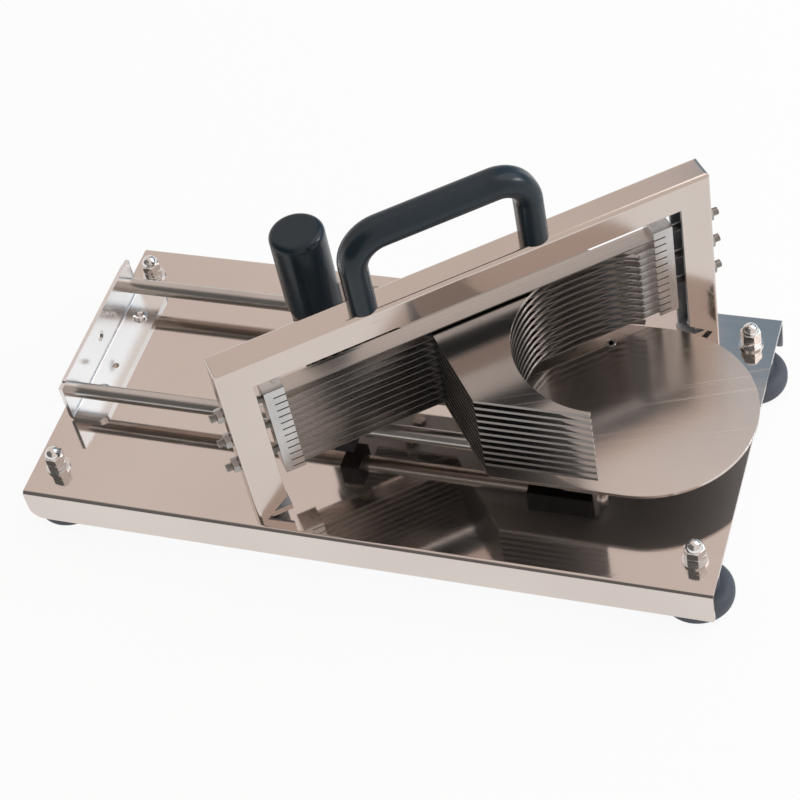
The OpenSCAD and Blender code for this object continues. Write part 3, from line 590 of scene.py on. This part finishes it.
# %% Set the nuts
HEX_TURN = radians(30)
FRAME_NUT_FLATS = 10 * MM
NUTS = [
    # node, shape, radius of the hole in mm, turn of the flats, finish, body, slot
    ("foot_lock_nuts", hex_nut, 3.1, 0, bright_metal, "base", "bright_fastener"),
    ("foot_cap_nuts", cap_nut, 3.1, 0, bright_metal, "base", "bright_fastener"),
    ("bracket_nuts", hex_nut, 2.6, 0, plain_metal, "base", "plain_fastener"),
    ("frame_nuts", hex_nut, 3.1, FRAME_TURN, plain_metal, "base", "plain_fastener"),
    ("clamp_nuts", hex_nut, 2.6, 0, plain_metal, "carriage", "plain_fastener"),
    ("knob_nut", hex_nut, 4.1, 0, plain_metal, "carriage", "plain_fastener"),
]
for name, shape, bore, turned, material, body, slot in NUTS:
    boxes = solids(name)
    size = boxes[0][1] - boxes[0][0]
    flats = FRAME_NUT_FLATS if turned else size.y
    places = [Matrix.Translation(((low.x + high.x) / 2, (low.y + high.y) / 2, low.z))
              @ Matrix.Rotation(HEX_TURN + turned, 4, "Z") for low, high in boxes]
    set_pieces(name, shape(flats, size.z, bore * MM), places, material, body)

# %% [markdown]
# ## Tension screws
# Three screws on each side pull the blade blocks outwards, and their threaded ends stick out of the
# posts. A bump in the material would look flat along the screw's outline, so the thread is real: a
# short profile that is spun about the axis and lifted by one pitch with each turn. The spin runs
# past both ends, and two plane cuts with a face in each make the ends flat.

# %% Threaded rod
TURN_STEPS = 20
SPARE_TURNS = 3
# shares of the thread's depth and of its pitch, from root to root
THREAD_PROFILE = [(0, 0), (0, 1 / 8), (1, 7 / 16), (1, 11 / 16), (0, 1)]


def threaded_rod(radius, depth, pitch, length):
    """A thread that stands on Z, with flat ends."""
    bm = bmesh.new()
    root = radius - depth
    points = [bm.verts.new((root + out * depth, 0, (rise - 1) * pitch))
              for out, rise in THREAD_PROFILE]
    edges = [bm.edges.new(pair) for pair in zip(points, points[1:])]
    turns = int(length / pitch) + SPARE_TURNS
    bmesh.ops.spin(bm, geom=points + edges, cent=(0, 0, 0), axis=(0, 0, 1), angle=turns * tau,
                   steps=turns * TURN_STEPS, dvec=(0, 0, pitch / TURN_STEPS), use_merge=False)
    bmesh.ops.remove_doubles(bm, verts=bm.verts, dist=MERGE)
    for height, outside in ((0, -1), (length, 1)):
        cut = bmesh.ops.bisect_plane(bm, geom=bm.verts[:] + bm.edges[:] + bm.faces[:], dist=MERGE,
                                     plane_co=(0, 0, height), plane_no=(0, 0, outside),
                                     clear_outer=True)
        rim = [edge for edge in cut["geom_cut"] if isinstance(edge, bmesh.types.BMEdge)]
        bmesh.ops.edgeloop_fill(bm, edges=rim)
    return bm


# %% Set the tension screws and their nuts
TENSION_RADIUS = 2.5 * MM
TENSION_FLATS = 8 * MM
THREAD_PITCH = 0.8 * MM
THREAD_DEPTH = 0.43 * MM


def frame_places(name, half_width):
    """The length of a group's pieces along the frame, and places with Z out of the nearer post."""
    along = Vector((cos(FRAME_TURN), sin(FRAME_TURN), 0))
    boxes = solids(name)
    size = boxes[0][1] - boxes[0][0]
    length = (size.x - 2 * half_width * sin(FRAME_TURN)) / cos(FRAME_TURN)
    middle = sum(low.x + high.x for low, high in boxes) / (2 * len(boxes))
    places = []
    for low, high in boxes:
        out = along if low.x > middle else -along
        places.append(towards((low + high) / 2 - out * length / 2, out))
    return length, places


length, places = frame_places("tension_screws", TENSION_RADIUS)
tension_screw = threaded_rod(TENSION_RADIUS, THREAD_DEPTH, THREAD_PITCH, length)
set_pieces("tension_screws", tension_screw, places, shaded_screw_metal, "base")
length, places = frame_places("tension_nuts", TENSION_FLATS / 2)
tension_nut = hex_nut(TENSION_FLATS, length, TENSION_RADIUS)
set_pieces("tension_nuts", tension_nut, places, shaded_screw_metal, "base")

# %% [markdown]
# ## Socket screws
# The brackets, the rods and the slides are held by screws with a six-sided socket. The brackets and
# the rods have rounded button heads, and the tray has flat heads that sit flush in its sheet.
# Each is a row of round rings from the shank's end to the rim, and two hexagons for the socket.
# Rings need no boolean cut for the socket, so the head stays smooth.

# %% Shapes of the screws
ARC_RINGS = 7
HEAD_EDGE = 0.25 * MM


def socket_screw(profile, flats, depth):
    """A screw from (radius, height) points that end at the socket's rim, at height 0."""
    bm = bmesh.new()
    rings = [ring(bm, radius, height) for radius, height in profile]
    join_rings(bm, rings + [ring(bm, 0, -HEAD_EDGE, flats), ring(bm, 0, -depth, flats)])
    return bm


def button_profile(shank, length, head, tall, rim):
    """The shank and a head whose side rounds over to the socket's rim."""
    profile = [(shank, -length), (shank, -tall), (head - HEAD_EDGE, -tall)]
    for step in range(ARC_RINGS + 1):
        lift = step / ARC_RINGS * tau / 4
        profile.append((rim + (head - rim) * cos(lift),
                        -tall + HEAD_EDGE + (tall - HEAD_EDGE) * sin(lift)))
    return profile


def flat_profile(shank, length, head, cone, lip, rim):
    """The shank and a cone that ends in a thin lip under a flat top."""
    return [(shank, -length), (shank, -cone), (head, -lip), (head - lip, 0), (rim, 0)]


def head_places(name, direction=(0, 0, 1)):
    """The middle of each solid's end in a direction: the top of a screw's head."""
    out = Vector(direction)
    return [towards((low + high) / 2 + out * abs(out.dot(high - low)) / 2, out)
            for low, high in solids(name)]


# %% Set the socket screws
bracket_screw = button_profile(shank=2.5 * MM, length=12 * MM, head=5 * MM, tall=2.5 * MM,
                               rim=2.3 * MM)
set_pieces("bracket_screws", socket_screw(bracket_screw, flats=3 * MM, depth=1.6 * MM),
           head_places("bracket_screws"), bright_metal, "base")

rod_length = max(high.x - low.x for low, high in solids("rod_end_screws"))
rod_screw = button_profile(shank=3 * MM, length=rod_length, head=6.5 * MM, tall=4.5 * MM,
                           rim=3 * MM)
rod_heads = [place for side in (-1, 1) for place in head_places("rod_end_screws", (side, 0, 0))
             if side * place.translation.x > 0]
set_pieces("rod_end_screws", socket_screw(rod_screw, flats=4 * MM, depth=2.6 * MM),
           rod_heads, bright_metal, "base")

flat_screw = flat_profile(shank=1.75 * MM, length=10.9 * MM, head=2.95 * MM, cone=2 * MM,
                          lip=0.1 * MM, rim=1.6 * MM)
set_pieces("slide_screws", socket_screw(flat_screw, flats=2 * MM, depth=1.2 * MM),
           head_places("slide_screws"), plain_metal, "carriage")

# %% [markdown]
# ## The studio
# The picture has a plain white ground. The floor and the world are white to the camera, and most of
# the floor's brightness is its own, so that only a pale shadow stays. Polished steel shows the room
# round it, so for the steel the world is a simple room: a warm wall all round and overhead, a dim,
# cool corner at the back on the right, and an unlit side at the front on the left. Real walls could
# stand round the object, but a world is seen in every view and casts no shadow of its own.

# %% Floor
FLOOR_HALF = 5.0
FLOOR_DROP = 0.3 * MM
FLOOR_GLOW = 0.92
FLOOR_PAINT = (0.96, 0.97, 0.98, 1)
SEEN_RAYS = ("Is Camera Ray", "Is Glossy Ray", "Is Transmission Ray")

bm = bmesh.new()
bmesh.ops.create_grid(bm, x_segments=1, y_segments=1, size=FLOOR_HALF)
bmesh.ops.translate(bm, vec=(0, 0, -FLOOR_DROP), verts=bm.verts)
floor_mesh = bpy.data.meshes.new("floor")
bm.to_mesh(floor_mesh)
bm.free()
floor = bpy.data.objects.new("floor", floor_mesh)
scene.collection.objects.link(floor)

floor_paint = bpy.data.materials.new("floor_paint")
floor_paint.use_nodes = True
tree = floor_paint.node_tree
tree.nodes.remove(tree.nodes["Principled BSDF"])
rays = tree.nodes.new("ShaderNodeLightPath").outputs
seen = combine(tree, "MAXIMUM", *(rays[kind] for kind in SEEN_RAYS))
share = add_node(tree, "ShaderNodeMath", {"operation": "MULTIPLY"}, Value=seen)
share.inputs[1].default_value = FLOOR_GLOW
paint = add_node(tree, "ShaderNodeBsdfDiffuse", Color=FLOOR_PAINT)
glow = add_node(tree, "ShaderNodeEmission", Color=(1, 1, 1, 1), Strength=1.0)
mixed = add_node(tree, "ShaderNodeMixShader", Fac=share.outputs[0])
tree.links.new(paint.outputs[0], mixed.inputs[1])
tree.links.new(glow.outputs[0], mixed.inputs[2])
tree.links.new(mixed.outputs[0], tree.nodes["Material Output"].inputs["Surface"])
floor_mesh.materials.append(floor_paint)
print("floor:", 2 * FLOOR_HALF, "m wide")

# %% The room that the steel mirrors
WHITE = (1.0, 1.0, 1.0)
WARM_WALL = (0.80, 0.715, 0.67)
COOL_CORNER = (0.25, 0.345, 0.435)
CORNER_SIDE, CORNER_DEPTH, CORNER_TOP = (-0.185, -0.160), (0.20, 0.45), (0.745, 0.775)
UNLIT_FRONT = (0.16, 0.155, 0.15)
FRONT_SIDE, FRONT_DEPTH, FRONT_TOP = (-0.05, 0.30), (-0.10, 0.15), (0.85, 0.97)


def fade_in(tree, value, span, low=0.0, high=1.0):
    """A smooth step over a span of one part of a direction."""
    return add_node(tree, "ShaderNodeMapRange", {"interpolation_type": "SMOOTHSTEP"}, Value=value,
                    From_Min=span[0], From_Max=span[1], To_Min=low, To_Max=high).outputs[0]


def fade_out(tree, value, span):
    """The same step from 1 down to 0."""
    return fade_in(tree, value, span, 1.0, 0.0)


world = bpy.data.worlds.new("studio_room")
scene.world = world
world.use_nodes = True
room = world.node_tree
direction = room.nodes.new("ShaderNodeTexCoord").outputs["Generated"]
sideways, depth, height = add_node(room, "ShaderNodeSeparateXYZ", Vector=direction).outputs
dim_corner = combine(room, "MULTIPLY", fade_in(room, sideways, CORNER_SIDE),
                     fade_in(room, depth, CORNER_DEPTH), fade_out(room, height, CORNER_TOP))
dim_front = combine(room, "MULTIPLY", fade_out(room, depth, FRONT_DEPTH),
                    fade_out(room, sideways, FRONT_SIDE), fade_out(room, height, FRONT_TOP))
walls = mix_colours(room, dim_corner, WARM_WALL, COOL_CORNER)
walls = mix_colours(room, dim_front, walls, UNLIT_FRONT)
rays = room.nodes.new("ShaderNodeLightPath").outputs
shown = mix_colours(room, rays["Is Camera Ray"], walls, WHITE)
background = room.nodes["Background"]
room.links.new(shown, background.inputs["Color"])
background.inputs["Strength"].default_value = 1.0
print("world:", world.name)


# %% [markdown]
# ## Lamps
# A large soft lamp stands high behind the object on the right, where no flat sheet mirrors it to
# the camera. A small one, like a window, lights the ends that face right. Many lamps would fill
# every shadow, and two are enough because the room gives light of its own.


# %% Lamps
def soft_lamp(name, place, aim, size, watts):
    """A square lamp at a place, turned towards a point."""
    data = bpy.data.lights.new(name, "AREA")
    data.shape = "SQUARE"
    data.size, data.energy = size, watts
    lamp = bpy.data.objects.new(name, data)
    lamp.location = place
    lamp.rotation_euler = (Vector(aim) - Vector(place)).to_track_quat("-Z", "Y").to_euler()
    scene.collection.objects.link(lamp)
    return lamp


key = soft_lamp("key_lamp", place=(0.95, 1.05, 1.55), aim=(0, 0, 0.05), size=1.7, watts=10)
window = soft_lamp("window_lamp", place=(1.26, 0.52, 0.80), aim=(0.05, 0, 0.15), size=0.3,
                   watts=4.5)
print("lamps:", key.name, window.name)

# %% [markdown]
# ## Colours as rendered
# The view transform is Standard, so colours are shown as rendered, with no film look.

# %% Show colours as rendered
scene.view_settings.view_transform = "Standard"
